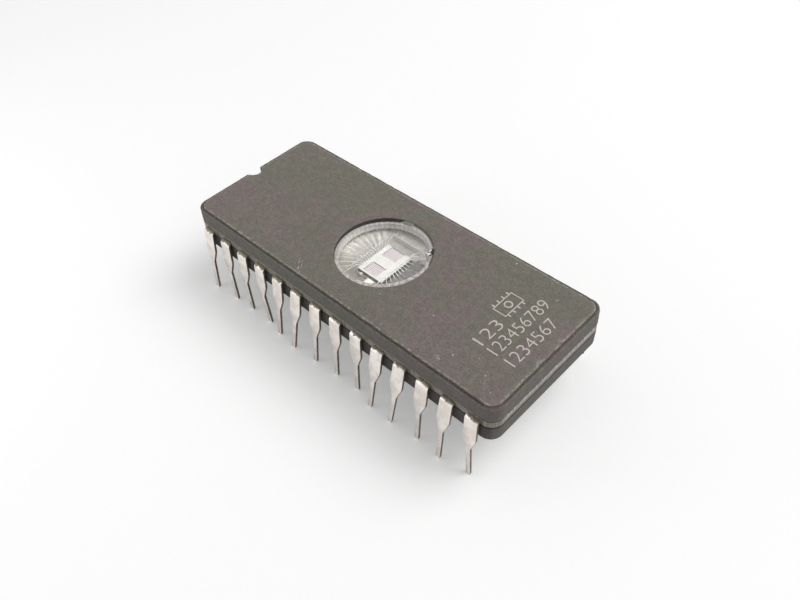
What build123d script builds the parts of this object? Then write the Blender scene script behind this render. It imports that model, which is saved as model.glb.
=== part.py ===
from build123d import *
import os
from math import cos, hypot, radians, sin, tan

# Windowed ceramic dual in-line package, 28 leads, all sizes in millimetres.
# X runs along the package with the index notch at -X, Y runs across it, and Z = 0 is where the tips stand.

# Pin rows
pins_per_side = 14
pin_pitch = 2.54

# Ceramic body, seen from above
body_length = 36.9
body_width = 14.62
body_corner_radius = 1.25
draft_deg = 1.5

# Heights, from the lead tips up
base_bottom_z = 5.05
base_thickness = 1.8
glass_under_leads = 0.1
lead_thickness = 0.25
glass_over_leads = 0.3
cap_thickness = 1.7

# Edges of the two pressed ceramics
base_bottom_edge_radius = 0.2
seam_edge_chamfer = 0.08
top_step_height = 0.15
top_ledge_width = 0.25
top_corner_radius = 1.1
ledge_edge_chamfer = 0.05
top_edge_chamfer = 0.1

# Index notch in the cap's end, a round bite with rolled lips
notch_radius = 0.72
notch_lip_radius = 0.25

# Die cavity in the base and wire pocket in the cap
cavity_length_x = 4.0
cavity_length_y = 6.4
cavity_depth = 0.3
cavity_corner_radius = 0.3
glass_setback = 0.05
pocket_length_x = 11.6
pocket_length_y = 10.4
pocket_depth = 0.2
pocket_corner_radius = 1.0

# Window
window_hole_radius = 4.47
window_rim_chamfer = 0.06
window_seal_width = 0.28
window_thickness = 1.23
window_edge_chamfer = 0.05
# The lens settled a little askew in its soft seal: it leans by this much, down towards this heading from +X
window_lean_deg = 2.6
window_low_heading_deg = 140

# Die and what holds it
die_length_x = 3.0
die_length_y = 4.0
die_thickness = 0.45
attach_thickness = 0.05
attach_margin = 0.12
attach_corner_radius = 0.2
paste_lump_radius = 0.16
paste_lump_height = 0.3
paste_lump_offset_x = -0.85
ground_block_side = 0.75
ground_block_height = 0.42
ground_block_offset_x = 0.5

# Lead frame inside the glass
fan_half_angle_deg = 66.5
knee_radius = 5.6
tip_setback = 0.1
finger_tip_width = 0.19
finger_knee_width = 0.5
finger_root_width = 0.72
stub_inset = 0.5
root_inset = 1.05

# Leads outside the body
bend_inner_radius = 0.12
shoulder_top_width = 1.28
shoulder_width = 1.34
taper_start_z = 4.75
neck_z = 3.38
leg_width = 0.47
leg_tip_width = 0.36
leg_tip_taper = 0.22
shoulder_fillet = 1.3
neck_fillet = 0.3

# How handling has bent each lead of the near row:
# splay outward in degrees, sideways shift at the neck, sideways shift at the tip
near_row_set = [
    (5.5, -0.12, -0.05),
    (3.5, -0.05, 0.30),
    (2.5, -0.22, 0.06),
    (2.0, -0.20, 0.26),
    (5.5, -0.18, -0.40),
    (7.5, -0.28, -0.66),
    (5.5, -0.18, -0.38),
    (4.0, -0.12, -0.23),
    (3.0, -0.10, -0.17),
    (8.0, -0.25, -0.52),
    (8.0, -0.27, -0.62),
    (5.5, -0.22, -0.24),
    (7.0, -0.18, -0.19),
    (3.0, -0.06, 0.16),
]
# The far row is out of sight in the photograph: it has the same bends, dealt out in another order
far_row_set = near_row_set[1::2] + near_row_set[0::2]

# Bond wires
wire_thickness = 0.035
wire_foot = 0.08
wire_loop_height = 0.25
wire_loop_start = 0.22
wire_loop_end = 0.5
wire_landing = 0.12
pad_pitch = 0.26
pad_inset = 0.1

# How a round or square block is placed: centred on its point, and standing on it
standing = (Align.CENTER, Align.CENTER, Align.MIN)

# Levels that follow from the sizes above
base_top_z = base_bottom_z + base_thickness
lead_bottom_z = base_top_z + glass_under_leads
lead_top_z = lead_bottom_z + lead_thickness
lead_middle_z = lead_bottom_z + lead_thickness / 2
cap_bottom_z = lead_top_z + glass_over_leads
cap_top_z = cap_bottom_z + cap_thickness
ledge_z = cap_top_z - top_step_height
pocket_ceiling_z = cap_bottom_z + pocket_depth
cavity_floor_z = base_top_z - cavity_depth
die_bottom_z = cavity_floor_z + attach_thickness
die_top_z = die_bottom_z + die_thickness

# Plan sizes that follow
wall_inset = (ledge_z - cap_bottom_z) * tan(radians(draft_deg))
top_length = body_length - 2 * (wall_inset + top_ledge_width)
top_width = body_width - 2 * (wall_inset + top_ledge_width)
notch_centre_x = -(top_length + top_ledge_width) / 2
window_radius = window_hole_radius - window_seal_width
window_centre_z = pocket_ceiling_z + window_thickness / 2
fingers_per_quarter = pins_per_side // 2
fan_step_deg = fan_half_angle_deg / fingers_per_quarter


def slab(length, width, corner, z, height, taper_deg=0.0):
    """A rounded rectangular plate standing on height z, drafted inwards as it rises."""
    return Pos(0, 0, z) * extrude(RectangleRounded(length, width, corner), height, taper=taper_deg)


def lowest_edges(solid):
    return solid.edges().group_by(Axis.Z)[0]


def highest_edges(solid):
    return solid.edges().group_by(Axis.Z)[-1]


def ceramic_base():
    """The pressed base: drafted sides that close in downwards, and the cavity for the die in its top."""
    upside_down = slab(body_length, body_width, body_corner_radius, 0, base_thickness, draft_deg)
    base = Pos(0, 0, base_top_z) * Rot(180, 0, 0) * upside_down
    base = fillet(lowest_edges(base), base_bottom_edge_radius)
    base = chamfer(highest_edges(base), seam_edge_chamfer)
    cavity = slab(cavity_length_x, cavity_length_y, cavity_corner_radius, cavity_floor_z, cavity_depth)
    return base - cavity


def window_cutter():
    """Cutter for the window's hole, widened by a 45 degree chamfer where it comes out at the top."""
    profile = Polyline(
        (0, cap_bottom_z),
        (window_hole_radius, cap_bottom_z),
        (window_hole_radius, cap_top_z - window_rim_chamfer),
        (window_hole_radius + 2 * window_rim_chamfer, cap_top_z + window_rim_chamfer),
        (0, cap_top_z + window_rim_chamfer),
        close=True,
    )
    return revolve(Plane.XZ * make_face(profile), Axis.Z)


def notch_cutter(end_x, z, height):
    """Cutter for the index notch: a round bite in an end at end_x, with lips that roll into the end face."""
    bite = Pos(notch_centre_x, 0) * Circle(notch_radius)
    beyond = Pos(end_x - notch_radius, 0) * Rectangle(2 * notch_radius, 4 * notch_radius)
    plan = bite + beyond
    lips = plan.vertices().sort_by(lambda corner: hypot(corner.X - end_x, abs(corner.Y) - notch_radius))[:2]
    return Pos(0, 0, z) * extrude(fillet(lips, notch_lip_radius), height)


def ceramic_cap():
    """The pressed cap: drafted wall, narrow ledge, raised top, notch, wire pocket and window hole."""
    wall_height = ledge_z - cap_bottom_z
    wall = slab(body_length, body_width, body_corner_radius, cap_bottom_z, wall_height, draft_deg)
    wall = chamfer(lowest_edges(wall), seam_edge_chamfer)
    wall = chamfer(highest_edges(wall), ledge_edge_chamfer)
    wall = wall - notch_cutter(-body_length / 2, cap_bottom_z, wall_height)
    top = slab(top_length, top_width, top_corner_radius, ledge_z, top_step_height)
    top = top - notch_cutter(-top_length / 2, ledge_z, top_step_height)
    top = chamfer(highest_edges(top), top_edge_chamfer)
    pocket = slab(pocket_length_x, pocket_length_y, pocket_corner_radius, cap_bottom_z, pocket_depth)
    return wall + top - pocket - window_cutter()


def as_settled(disc):
    """Leans a round piece that was made level round the origin, and sets it where the lens lies."""
    leant = Rot(0, 0, window_low_heading_deg) * Rot(0, window_lean_deg, 0) * disc
    return Pos(0, 0, window_centre_z) * leant


def window_lens():
    """The clear disc that lets ultraviolet light reach the die."""
    lens = Cylinder(window_radius, window_thickness)
    return as_settled(chamfer(highest_edges(lens), window_edge_chamfer))


def window_seal():
    """The ring of glass that fills the gap between the leaning lens and the upright wall of the hole."""
    room_height = cap_top_z - pocket_ceiling_z
    room = Pos(0, 0, pocket_ceiling_z) * Cylinder(window_hole_radius, room_height, align=standing)
    flush = window_thickness / 2
    profile = Polyline(
        (window_radius, -room_height),
        (window_hole_radius + window_seal_width, -room_height),
        (window_hole_radius + window_seal_width, flush),
        (window_hole_radius, flush),
        (window_radius, flush - window_edge_chamfer),
        close=True,
    )
    return room & as_settled(revolve(Plane.XZ * make_face(profile), Axis.Z))


def ribbon(points, widths):
    """A flat strip that follows a path, with its own width at each point."""
    left = []
    right = []
    for i, (x, y) in enumerate(points):
        before = points[max(i - 1, 0)]
        after = points[min(i + 1, len(points) - 1)]
        d_in = unit((x - before[0], y - before[1])) if i > 0 else unit((after[0] - x, after[1] - y))
        d_out = unit((after[0] - x, after[1] - y)) if i < len(points) - 1 else d_in
        mid = unit((d_in[0] + d_out[0], d_in[1] + d_out[1]))
        reach = widths[i] / 2 / (mid[0] * d_in[0] + mid[1] * d_in[1])
        left.append((x - mid[1] * reach, y + mid[0] * reach))
        right.append((x + mid[1] * reach, y - mid[0] * reach))
    return make_face(Polyline(*left, *reversed(right), close=True))


def unit(vector):
    size = hypot(*vector)
    return (vector[0] / size, vector[1] / size)


def pin_x(pin):
    """Place along the row of pin 1, 2, 3 and so on of the near row."""
    return (pin - (pins_per_side + 1) / 2) * pin_pitch


def fan_place(pin):
    """Which half of the fan a pin's finger belongs to, and its count from the package's long centre line."""
    if pin <= fingers_per_quarter:
        return -1, pin
    return 1, pins_per_side + 1 - pin


def finger_ray(pin):
    """Direction of a finger, as seen from the centre of the die."""
    side, count = fan_place(pin)
    angle = radians((count - 0.5) * fan_step_deg)
    return side * cos(angle), -sin(angle)


def finger_tip(pin):
    """Inner end of a finger, just short of the cavity's rim on its own ray."""
    ray_x, ray_y = finger_ray(pin)
    half_x = cavity_length_x / 2 + tip_setback
    half_y = cavity_length_y / 2 + tip_setback
    reach = min(half_x / abs(ray_x), half_y / abs(ray_y))
    return ray_x * reach, ray_y * reach


def finger(pin):
    """The flat part of a lead, from the body's side to the tip that its wire lands on."""
    ray_x, ray_y = finger_ray(pin)
    x = pin_x(pin)
    path = [
        (x, -body_width / 2),
        (x, -body_width / 2 + stub_inset),
        (x, -body_width / 2 + root_inset),
        (ray_x * knee_radius, ray_y * knee_radius),
        finger_tip(pin),
    ]
    widths = [shoulder_top_width, shoulder_top_width, finger_root_width, finger_knee_width, finger_tip_width]
    return Pos(0, 0, lead_bottom_z) * extrude(ribbon(path, widths), lead_thickness)


def corners_at(outline, level):
    """The two corners of a flat outline that lie nearest to a level."""
    return outline.vertices().sort_by(lambda corner: abs(corner.Y - level))[:2]


def blade(pin, splay_deg, neck_shift, tip_shift):
    """The shoulder and leg, flat in a plane that leans outwards by the splay."""
    lean = radians(splay_deg)
    outward = (0, -cos(lean), sin(lean))
    centre_z = lead_bottom_z - bend_inner_radius
    start_y = -body_width / 2 + bend_inner_radius * outward[1]
    start_z = centre_z + bend_inner_radius * outward[2]
    taper_v = (start_z - taper_start_z) / cos(lean)
    neck_v = (start_z - neck_z) / cos(lean)
    tip_v = start_z / cos(lean)
    taper_shift = neck_shift * taper_v / neck_v
    ankle_v = tip_v - leg_tip_taper
    ankle_shift = neck_shift + (tip_shift - neck_shift) * (ankle_v - neck_v) / (tip_v - neck_v)
    stations = [
        (0, 0, shoulder_top_width),
        (taper_v, taper_shift, shoulder_width),
        (neck_v, neck_shift, leg_width),
        (ankle_v, ankle_shift, leg_width),
        (tip_v, tip_shift, leg_tip_width),
    ]
    right = [(shift + width / 2, -v) for v, shift, width in stations]
    left = [(shift - width / 2, -v) for v, shift, width in reversed(stations)]
    outline = make_face(Polyline(*right, *left, close=True))
    outline = fillet(corners_at(outline, -taper_v), shoulder_fillet)
    outline = fillet(corners_at(outline, -neck_v), neck_fillet)
    plane = Plane(origin=(pin_x(pin), start_y, start_z), x_dir=(1, 0, 0), z_dir=outward)
    return plane * extrude(outline, lead_thickness)


def bend(pin, splay_deg):
    """The quarter turn where the lead leaves the glass and goes down."""
    section = Plane(
        origin=(pin_x(pin), -body_width / 2, lead_middle_z), x_dir=(1, 0, 0), z_dir=(0, -1, 0)
    ) * Rectangle(shoulder_top_width, lead_thickness)
    pivot = Axis((0, -body_width / 2, lead_bottom_z - bend_inner_radius), (1, 0, 0))
    return revolve(section, pivot, 90 - splay_deg)


def lead(number):
    """One lead as a single piece: finger, bend, shoulder and leg. The far row is turned half round."""
    far = number > pins_per_side
    pin = number - pins_per_side if far else number
    row_set = far_row_set if far else near_row_set
    splay_deg, neck_shift, tip_shift = row_set[(pin - 1) % len(row_set)]
    piece = finger(pin) + bend(pin, splay_deg) + blade(pin, splay_deg, neck_shift, tip_shift)
    return Rot(0, 0, 180) * piece if far else piece


def sealing_glass(leads):
    """The glass that joins base and cap, round the lead frame, which stands half proud in the pocket."""
    under = slab(body_length, body_width, body_corner_radius, base_top_z, lead_middle_z - base_top_z)
    over = slab(body_length, body_width, body_corner_radius, lead_middle_z, cap_bottom_z - lead_middle_z)
    rim_x = cavity_length_x + 2 * glass_setback
    rim_y = cavity_length_y + 2 * glass_setback
    rim_corner = cavity_corner_radius + glass_setback
    well = slab(rim_x, rim_y, rim_corner, base_top_z, lead_middle_z - base_top_z)
    pocket = slab(
        pocket_length_x, pocket_length_y, pocket_corner_radius, lead_middle_z, cap_bottom_z - lead_middle_z
    )
    glass = (under - well) + (over - pocket)
    for piece in leads:
        glass = glass - piece
    return glass


def die():
    """The silicon chip."""
    return Pos(0, 0, die_bottom_z) * Box(die_length_x, die_length_y, die_thickness, align=standing)


def die_attach():
    """The hardened paste under the chip, with one lump squeezed out beside it."""
    length_x = die_length_x + 2 * attach_margin
    length_y = die_length_y + 2 * attach_margin
    pad = slab(length_x, length_y, attach_corner_radius, cavity_floor_z, attach_thickness)
    lump_y = -(length_y + paste_lump_radius) / 2
    lump = Cylinder(paste_lump_radius, paste_lump_height, align=standing)
    return pad + Pos(paste_lump_offset_x, lump_y, cavity_floor_z) * lump


def ground_block():
    """The small plated block on the cavity floor, between the chip and the cavity's end."""
    free_start = die_length_y / 2 + attach_margin
    free_end = cavity_length_y / 2
    block = Box(ground_block_side, ground_block_side, ground_block_height, align=standing)
    return Pos(ground_block_offset_x, -(free_start + free_end) / 2, cavity_floor_z) * block


def bond_wire(pin):
    """One wire from its pad at the chip's edge up and over to its finger's tip."""
    side, count = fan_place(pin)
    pad = (side * (die_length_x / 2 - pad_inset), -(count - 0.5) * pad_pitch)
    ray_x, ray_y = finger_ray(pin)
    tip_x, tip_y = finger_tip(pin)
    landing = (tip_x + ray_x * wire_landing, tip_y + ray_y * wire_landing)
    along = unit((landing[0] - pad[0], landing[1] - pad[1]))
    span = hypot(landing[0] - pad[0], landing[1] - pad[1])
    rise = lead_top_z - die_top_z
    lift = wire_thickness / 2
    path = [
        (0, lift),
        (wire_foot, lift),
        (span * wire_loop_start, rise + wire_loop_height),
        (span * wire_loop_end, rise + wire_loop_height),
        (span - wire_foot, rise + lift),
        (span, rise + lift),
    ]
    plane = Plane(
        origin=(pad[0], pad[1], die_top_z), x_dir=(along[0], along[1], 0), z_dir=(along[1], -along[0], 0)
    )
    return plane * extrude(ribbon(path, [wire_thickness] * len(path)), wire_thickness / 2, both=True)


def bond_wires(side):
    """All wires that leave the chip on one side, as separate pieces."""
    pins = [pin for pin in range(1, pins_per_side + 1) if fan_place(pin)[0] == side]
    near = [bond_wire(pin) for pin in pins]
    across = [mirror(wire, Plane.XZ) for wire in near]
    return Compound(children=near + across)


def save(shape, node):
    export_step(shape, f"parts/{node}.step")


os.makedirs("parts", exist_ok=True)
leads = [lead(number) for number in range(1, 2 * pins_per_side + 1)]
for number, piece in enumerate(leads, start=1):
    save(piece, f"lead_{number:02d}")
save(ceramic_base(), "ceramic_base")
save(ceramic_cap(), "ceramic_cap")
save(sealing_glass(leads), "sealing_glass")
save(window_lens(), "window_lens")
save(window_seal(), "window_seal")
save(die(), "die")
save(die_attach(), "die_attach")
save(ground_block(), "ground_block")
save(bond_wires(-1), "bond_wires_left")
save(bond_wires(1), "bond_wires_right")
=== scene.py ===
# %% [markdown]
# # A windowed ceramic memory chip
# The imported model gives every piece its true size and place. This lesson dresses it: pressed ceramic with
# worn edges, a glass seam, tinned leads, and a window with a silicon chip and its wires behind it.

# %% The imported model
from math import atan2, ceil, cos, pi, radians, sin

import bmesh
import bpy
from mathutils import Matrix, Vector, noise


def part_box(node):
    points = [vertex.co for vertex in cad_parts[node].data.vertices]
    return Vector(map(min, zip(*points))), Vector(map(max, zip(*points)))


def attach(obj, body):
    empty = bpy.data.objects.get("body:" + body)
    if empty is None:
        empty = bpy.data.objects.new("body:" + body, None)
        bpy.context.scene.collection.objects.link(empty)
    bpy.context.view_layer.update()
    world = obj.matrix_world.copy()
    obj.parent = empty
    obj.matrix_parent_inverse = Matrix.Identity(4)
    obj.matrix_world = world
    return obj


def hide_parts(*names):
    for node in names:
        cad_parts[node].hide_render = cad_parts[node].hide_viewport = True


MM = 0.001
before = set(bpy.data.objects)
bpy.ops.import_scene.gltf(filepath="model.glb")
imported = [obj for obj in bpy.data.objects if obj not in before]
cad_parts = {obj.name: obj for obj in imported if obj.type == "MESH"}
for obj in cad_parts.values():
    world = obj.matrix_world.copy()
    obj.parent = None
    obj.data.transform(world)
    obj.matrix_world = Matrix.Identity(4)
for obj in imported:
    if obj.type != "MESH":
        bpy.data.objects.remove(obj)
scene = bpy.context.scene
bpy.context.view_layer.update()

# %% [markdown]
# The camera stands where the photograph was taken from: above the corner of the near row and the right end.
# Its place was found by matching the body's edges and the leads in a picture of 800 by 600 pixels. Azimuth
# and elevation say where it looks from, and roll how it leans.

# %% The camera
camera_azimuth = radians(46.172)
camera_elevation = radians(46.674)
camera_roll = radians(-3.8)
camera_place = Vector((37.553, -34.453, 56.703)) * MM
camera_lens = 35.085
sensor_width = 36.0


def add_camera():
    back = Vector((
        sin(camera_azimuth) * cos(camera_elevation),
        -cos(camera_azimuth) * cos(camera_elevation),
        sin(camera_elevation),
    ))
    level_right = (-back).cross(Vector((0, 0, 1))).normalized()
    level_up = level_right.cross(-back)
    right = cos(camera_roll) * level_right + sin(camera_roll) * level_up
    up = -sin(camera_roll) * level_right + cos(camera_roll) * level_up
    data = bpy.data.cameras.new("camera")
    data.lens = camera_lens
    data.sensor_width = sensor_width
    data.clip_start = 1 * MM
    camera = bpy.data.objects.new("camera", data)
    camera.matrix_world = Matrix.Translation(camera_place) @ Matrix((right, up, back)).transposed().to_4x4()
    scene.collection.objects.link(camera)
    scene.camera = camera


add_camera()
scene.view_settings.view_transform = "Standard"
print("camera at", [round(value / MM, 1) for value in camera_place])

# %% [markdown]
# A material is a small tree of nodes. Each helper adds one kind of node to a tree and hands back its output,
# so a material below reads like a recipe. Patterns read Object coordinates, so they keep their size on every
# piece. Grain sizes and bump depths are in millimetres, and colours are the values from 0 to 255 that a
# screen shows.

# %% Helpers for materials


class Look:
    """A material's node tree under construction, with short ways to add the nodes that it needs."""

    def __init__(self, name):
        self.material = bpy.data.materials.new(name)
        self.material.use_nodes = True
        self.tree = self.material.node_tree
        self.tree.nodes.clear()
        self.output = self.add("OutputMaterial")
        self.shader = self.add("BsdfPrincipled")
        self.place = self.add("TexCoord").outputs["Object"]
        self.base = None
        self.show(self.shader)

    def add(self, kind):
        return self.tree.nodes.new("ShaderNode" + kind)

    def join(self, source, target):
        self.tree.links.new(source, target)

    def show(self, shader):
        """Makes a shader node the surface of the material."""
        self.join(shader.outputs[0], self.output.inputs["Surface"])

    def fill(self, socket, value):
        """Gives an input a value, or a link if the value is another node's output."""
        if isinstance(value, bpy.types.NodeSocket):
            self.join(value, socket)
        else:
            socket.default_value = value

    def feed(self, node, **inputs):
        """Fills inputs by their names, with _ for a space."""
        for name, value in inputs.items():
            self.fill(node.inputs[name.replace("_", " ")], value)

    def finish(self, **inputs):
        """Gives the shader its base colour and its other inputs, and hands back the material."""
        self.feed(self.shader, **{"Base_Color": self.base, **inputs})
        return self.material

    def stretched(self, scale):
        """Object coordinates with another scale on each axis."""
        node = self.add("Mapping")
        self.feed(node, Vector=self.place, Scale=scale)
        return node.outputs[0]

    def grain(self, size, detail=3.0, roughness=0.5, place=None):
        """Soft noise whose lumps are about size millimetres across."""
        node = self.add("TexNoise")
        self.feed(node, Vector=place or self.place, Scale=1 / (size * MM))
        self.feed(node, Detail=detail, Roughness=roughness)
        return node.outputs["Fac"]

    def cells(self, size):
        """Distance to the nearest of many scattered points about size millimetres apart."""
        node = self.add("TexVoronoi")
        self.feed(node, Vector=self.place, Scale=1 / (size * MM))
        return node.outputs["Distance"]

    def attribute(self, name):
        node = self.add("Attribute")
        node.attribute_name = name
        return node.outputs["Fac"]

    def axis(self, index):
        """One coordinate: 0 for X, 1 for Y and 2 for Z."""
        node = self.add("SeparateXYZ")
        self.join(self.place, node.inputs[0])
        return node.outputs[index]

    def from_middle(self):
        """The distance from the window's middle, as seen from above."""
        return self.vector("DISTANCE", self.stretched((1, 1, 0)), Vector((0, 0, 0)))

    def math(self, operation, first, second=0.0, clamp=False):
        node = self.add("Math")
        node.operation = operation
        node.use_clamp = clamp
        self.fill(node.inputs[0], first)
        self.fill(node.inputs[1], second)
        return node.outputs[0]

    def times(self, first, second):
        return self.math("MULTIPLY", first, second)

    def step(self, value, low, high, smooth=True):
        """0 below low and 1 above high. With low above high it runs the other way."""
        node = self.add("MapRange")
        node.interpolation_type = "SMOOTHSTEP" if smooth else "LINEAR"
        start, end = (0.0, 1.0) if low < high else (1.0, 0.0)
        self.feed(node, Value=value, From_Min=min(low, high), From_Max=max(low, high))
        self.feed(node, To_Min=start, To_Max=end)
        return node.outputs["Result"]

    def between(self, value, low, high):
        """A number that runs from low to high as value runs from 0 to 1."""
        node = self.add("MapRange")
        self.feed(node, Value=value, To_Min=low, To_Max=high)
        return node.outputs["Result"]

    def blend(self, share, first, second):
        """Colour first where share is 0, second where it is 1. Each is an output or three screen values."""
        node = self.add("Mix")
        node.data_type = "RGBA"
        self.fill(node.inputs[0], share)
        # sockets 6 and 7 of this node take its two colours
        for socket, value in zip(node.inputs[6:8], (first, second)):
            self.fill(socket, colour(*value) if isinstance(value, tuple) else value)
        return node.outputs[2]

    def paint(self, share, coat, strength=1.0):
        """Lays a coat on the base colour where share is 1, as strongly as strength says."""
        if strength < 1.0:
            share = self.times(share, strength)
        self.base = self.blend(share, self.base, coat)

    def vector(self, operation, first, second):
        """Vector arithmetic. A distance or a dot product comes out as a number."""
        node = self.add("VectorMath")
        node.operation = operation
        self.fill(node.inputs[0], first)
        self.fill(node.inputs["Scale" if operation == "SCALE" else 1], second)
        return node.outputs["Value" if operation in ("DISTANCE", "DOT_PRODUCT") else "Vector"]

    def scaled(self, base, factor):
        """A colour or a vector, times a number."""
        return self.vector("SCALE", base, factor)

    def dim(self, factor):
        """Makes the base colour darker or lighter."""
        self.base = self.scaled(self.base, factor)

    def relief(self, height, depth, below=None):
        """A bump of the given depth in millimetres, on top of another bump if there is one."""
        node = self.add("Bump")
        self.feed(node, Height=height, Distance=depth * MM)
        if below is not None:
            self.feed(node, Normal=below)
        return node.outputs[0]


def colour(red, green, blue):
    """A screen colour from 0 to 255 as the linear colour that a shader takes."""
    def linear(value):
        share = value / 255
        return share / 12.92 if share <= 0.04045 else ((share + 0.055) / 1.055) ** 2.4
    return (linear(red), linear(green), linear(blue), 1.0)


print("a mid grey of 128 is", round(colour(128, 128, 128)[0], 3), "in linear light")

# %% [markdown]
# The object stands on plain white paper in soft light from all round. The paper takes the shadow, and a
# little glow of its own, which isn't cast on the object, lifts it to clean white elsewhere. A large lamp
# behind and a faint one on the left give edges and leads their shape.

# %% Floor, world and lamps
floor_reach = 1200
sky_on_surfaces = 0.42
paper_glow = 0.25
card_low, card_high, card_height = (-34.4, -60), (60, 38.4), 57
lamps = [
    # name, place and target in mm, side of the square in mm, power in watts
    ("key_from_behind", (190, 220, 400), (0, 0, 6), 320, 1.36),
    ("fill_from_the_left", (-62, -62, 32), (-8, 0, 6), 50, 0.010),
]


def seen_directly(tree):
    """1 for rays from the camera and for those that metal and glass send on, 0 for the light on things."""
    ray = tree.nodes.new("ShaderNodeLightPath")
    seen = ray.outputs["Is Camera Ray"]
    for kind in ("Is Glossy Ray", "Is Transmission Ray"):
        either = tree.nodes.new("ShaderNodeMath")
        either.operation = "MAXIMUM"
        tree.links.new(seen, either.inputs[0])
        tree.links.new(ray.outputs[kind], either.inputs[1])
        seen = either.outputs[0]
    return seen


def floor_material():
    look = Look("paper")
    look.finish(Base_Color=colour(238, 238, 238), Roughness=0.9, Specular_IOR_Level=0.1)
    glow = look.add("Emission")
    look.feed(glow, Strength=look.times(seen_directly(look.tree), paper_glow))
    both = look.add("AddShader")
    look.join(look.shader.outputs[0], both.inputs[0])
    look.join(glow.outputs[0], both.inputs[1])
    look.show(both)
    return look.material


def place_mesh(name, bm, materials):
    """Turns a bmesh into an object of the scene."""
    mesh = bpy.data.meshes.new(name)
    bm.to_mesh(mesh)
    bm.free()
    for material in materials:
        mesh.materials.append(material)
    placed = bpy.data.objects.new(name, mesh)
    scene.collection.objects.link(placed)
    return placed


def rectangle(bm, low, high, height):
    """The vertices of a level rectangle between two corners, in millimetres."""
    corners = ((low[0], low[1]), (high[0], low[1]), (high[0], high[1]), (low[0], high[1]))
    return [bm.verts.new(Vector((x, y, height)) * MM) for x, y in corners]


def add_sheet(name, low, high, height, material):
    """Adds a level sheet to the set."""
    bm = bmesh.new()
    bm.faces.new(rectangle(bm, low, high, height))
    sheet = place_mesh(name, bm, [material])
    return sheet


def add_world():
    world = bpy.data.worlds.new("studio")
    scene.world = world
    world.use_nodes = True
    tree = world.node_tree
    sky = tree.nodes["Background"]
    sky.inputs["Color"].default_value = (1.0, 1.0, 1.0, 1.0)
    strength = tree.nodes.new("ShaderNodeMapRange")
    strength.inputs["To Min"].default_value = sky_on_surfaces
    strength.inputs["To Max"].default_value = 1.0
    tree.links.new(seen_directly(tree), strength.inputs["Value"])
    tree.links.new(strength.outputs["Result"], sky.inputs["Strength"])


def add_lamp(name, place, target, side, power):
    """A soft square lamp that faces its target."""
    data = bpy.data.lights.new(name, "AREA")
    data.shape = "RECTANGLE"
    data.size = data.size_y = side * MM
    data.energy = power
    lamp = bpy.data.objects.new(name, data)
    turn = (Vector(target) - Vector(place)).to_track_quat("-Z", "Y")
    lamp.matrix_world = Matrix.Translation(Vector(place) * MM) @ turn.to_matrix().to_4x4()
    lamp.visible_camera = False
    scene.collection.objects.link(lamp)


def add_dark_card():
    """A card over the set that only polished things mirror, which gives bright metal its dark side."""
    dark = Look("dark_card").finish(Base_Color=colour(70, 68, 66), Roughness=1.0, Specular_IOR_Level=0.0)
    card = add_sheet("dark_card", card_low, card_high, card_height, dark)
    card.visible_camera = False
    card.visible_diffuse = False
    card.visible_shadow = False
    card.visible_transmission = False


add_sheet("floor", (-floor_reach, -floor_reach), (floor_reach, floor_reach), 0, floor_material())
add_world()
add_dark_card()
for lamp in lamps:
    add_lamp(*lamp)
print("lamps:", [lamp[0] for lamp in lamps])

# %% [markdown]
# Most pieces start from a copy of their imported solid. Its loose triangles are merged first, and flat
# triangles are joined into whole faces, so that later cuts and bevels run clean. A finished piece keeps its
# place in its mesh and rides on the one body, and the imported solids that it stands for are hidden.

# %% Helpers for pieces
weld_distance = 0.0002 * MM
flat_angle = radians(2)
crease_angle = radians(32)


def solid_copy(node):
    """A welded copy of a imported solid, with its flat faces in one piece."""
    bm = bmesh.new()
    bm.from_mesh(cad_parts[node].data)
    bmesh.ops.remove_doubles(bm, verts=bm.verts, dist=weld_distance)
    bmesh.ops.dissolve_limit(bm, angle_limit=flat_angle, verts=bm.verts, edges=bm.edges)
    return bm


def slice_across(bm, axis, step, faces=None):
    """Cuts a mesh by evenly spaced planes across one axis, so that it gets vertices to shape."""
    low = min(v.co[axis] for v in bm.verts)
    high = max(v.co[axis] for v in bm.verts)
    count = ceil((high - low) / step)
    normal = Vector((0, 0, 0))
    normal[axis] = 1
    for i in range(1, count):
        point = normal * (low + (high - low) * i / count)
        near = []
        for f in faces(bm) if faces else bm.faces:
            reach = [v.co[axis] for v in f.verts]
            if min(reach) < point[axis] < max(reach):
                near.append(f)
        parts = set(near)
        parts.update(e for f in near for e in f.edges)
        parts.update(v for f in near for v in f.verts)
        bmesh.ops.bisect_plane(bm, geom=list(parts), dist=weld_distance, plane_co=point, plane_no=normal)


def add_piece(name, bm, materials, stands_for=(), smooth=True):
    """Turns a bmesh into a piece of the object."""
    piece = place_mesh(name, bm, materials)
    if smooth:
        piece.data.shade_smooth()
        piece.data.set_sharp_from_angle(angle=crease_angle)
    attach(piece, "root")
    if stands_for:
        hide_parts(*stands_for)
    return piece


def dress(node, material):
    """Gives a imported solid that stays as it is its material."""
    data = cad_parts[node].data
    data.materials.clear()
    data.materials.append(material)


cap_low, cap_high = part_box("ceramic_cap")
base_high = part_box("ceramic_base")[1]
seam_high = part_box("sealing_glass")[1]
seal_low, seal_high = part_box("window_seal")
die_low, die_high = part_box("die")
print("cap from", round(cap_low.z / MM, 2), "to", round(cap_high.z / MM, 2), "mm")
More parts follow.
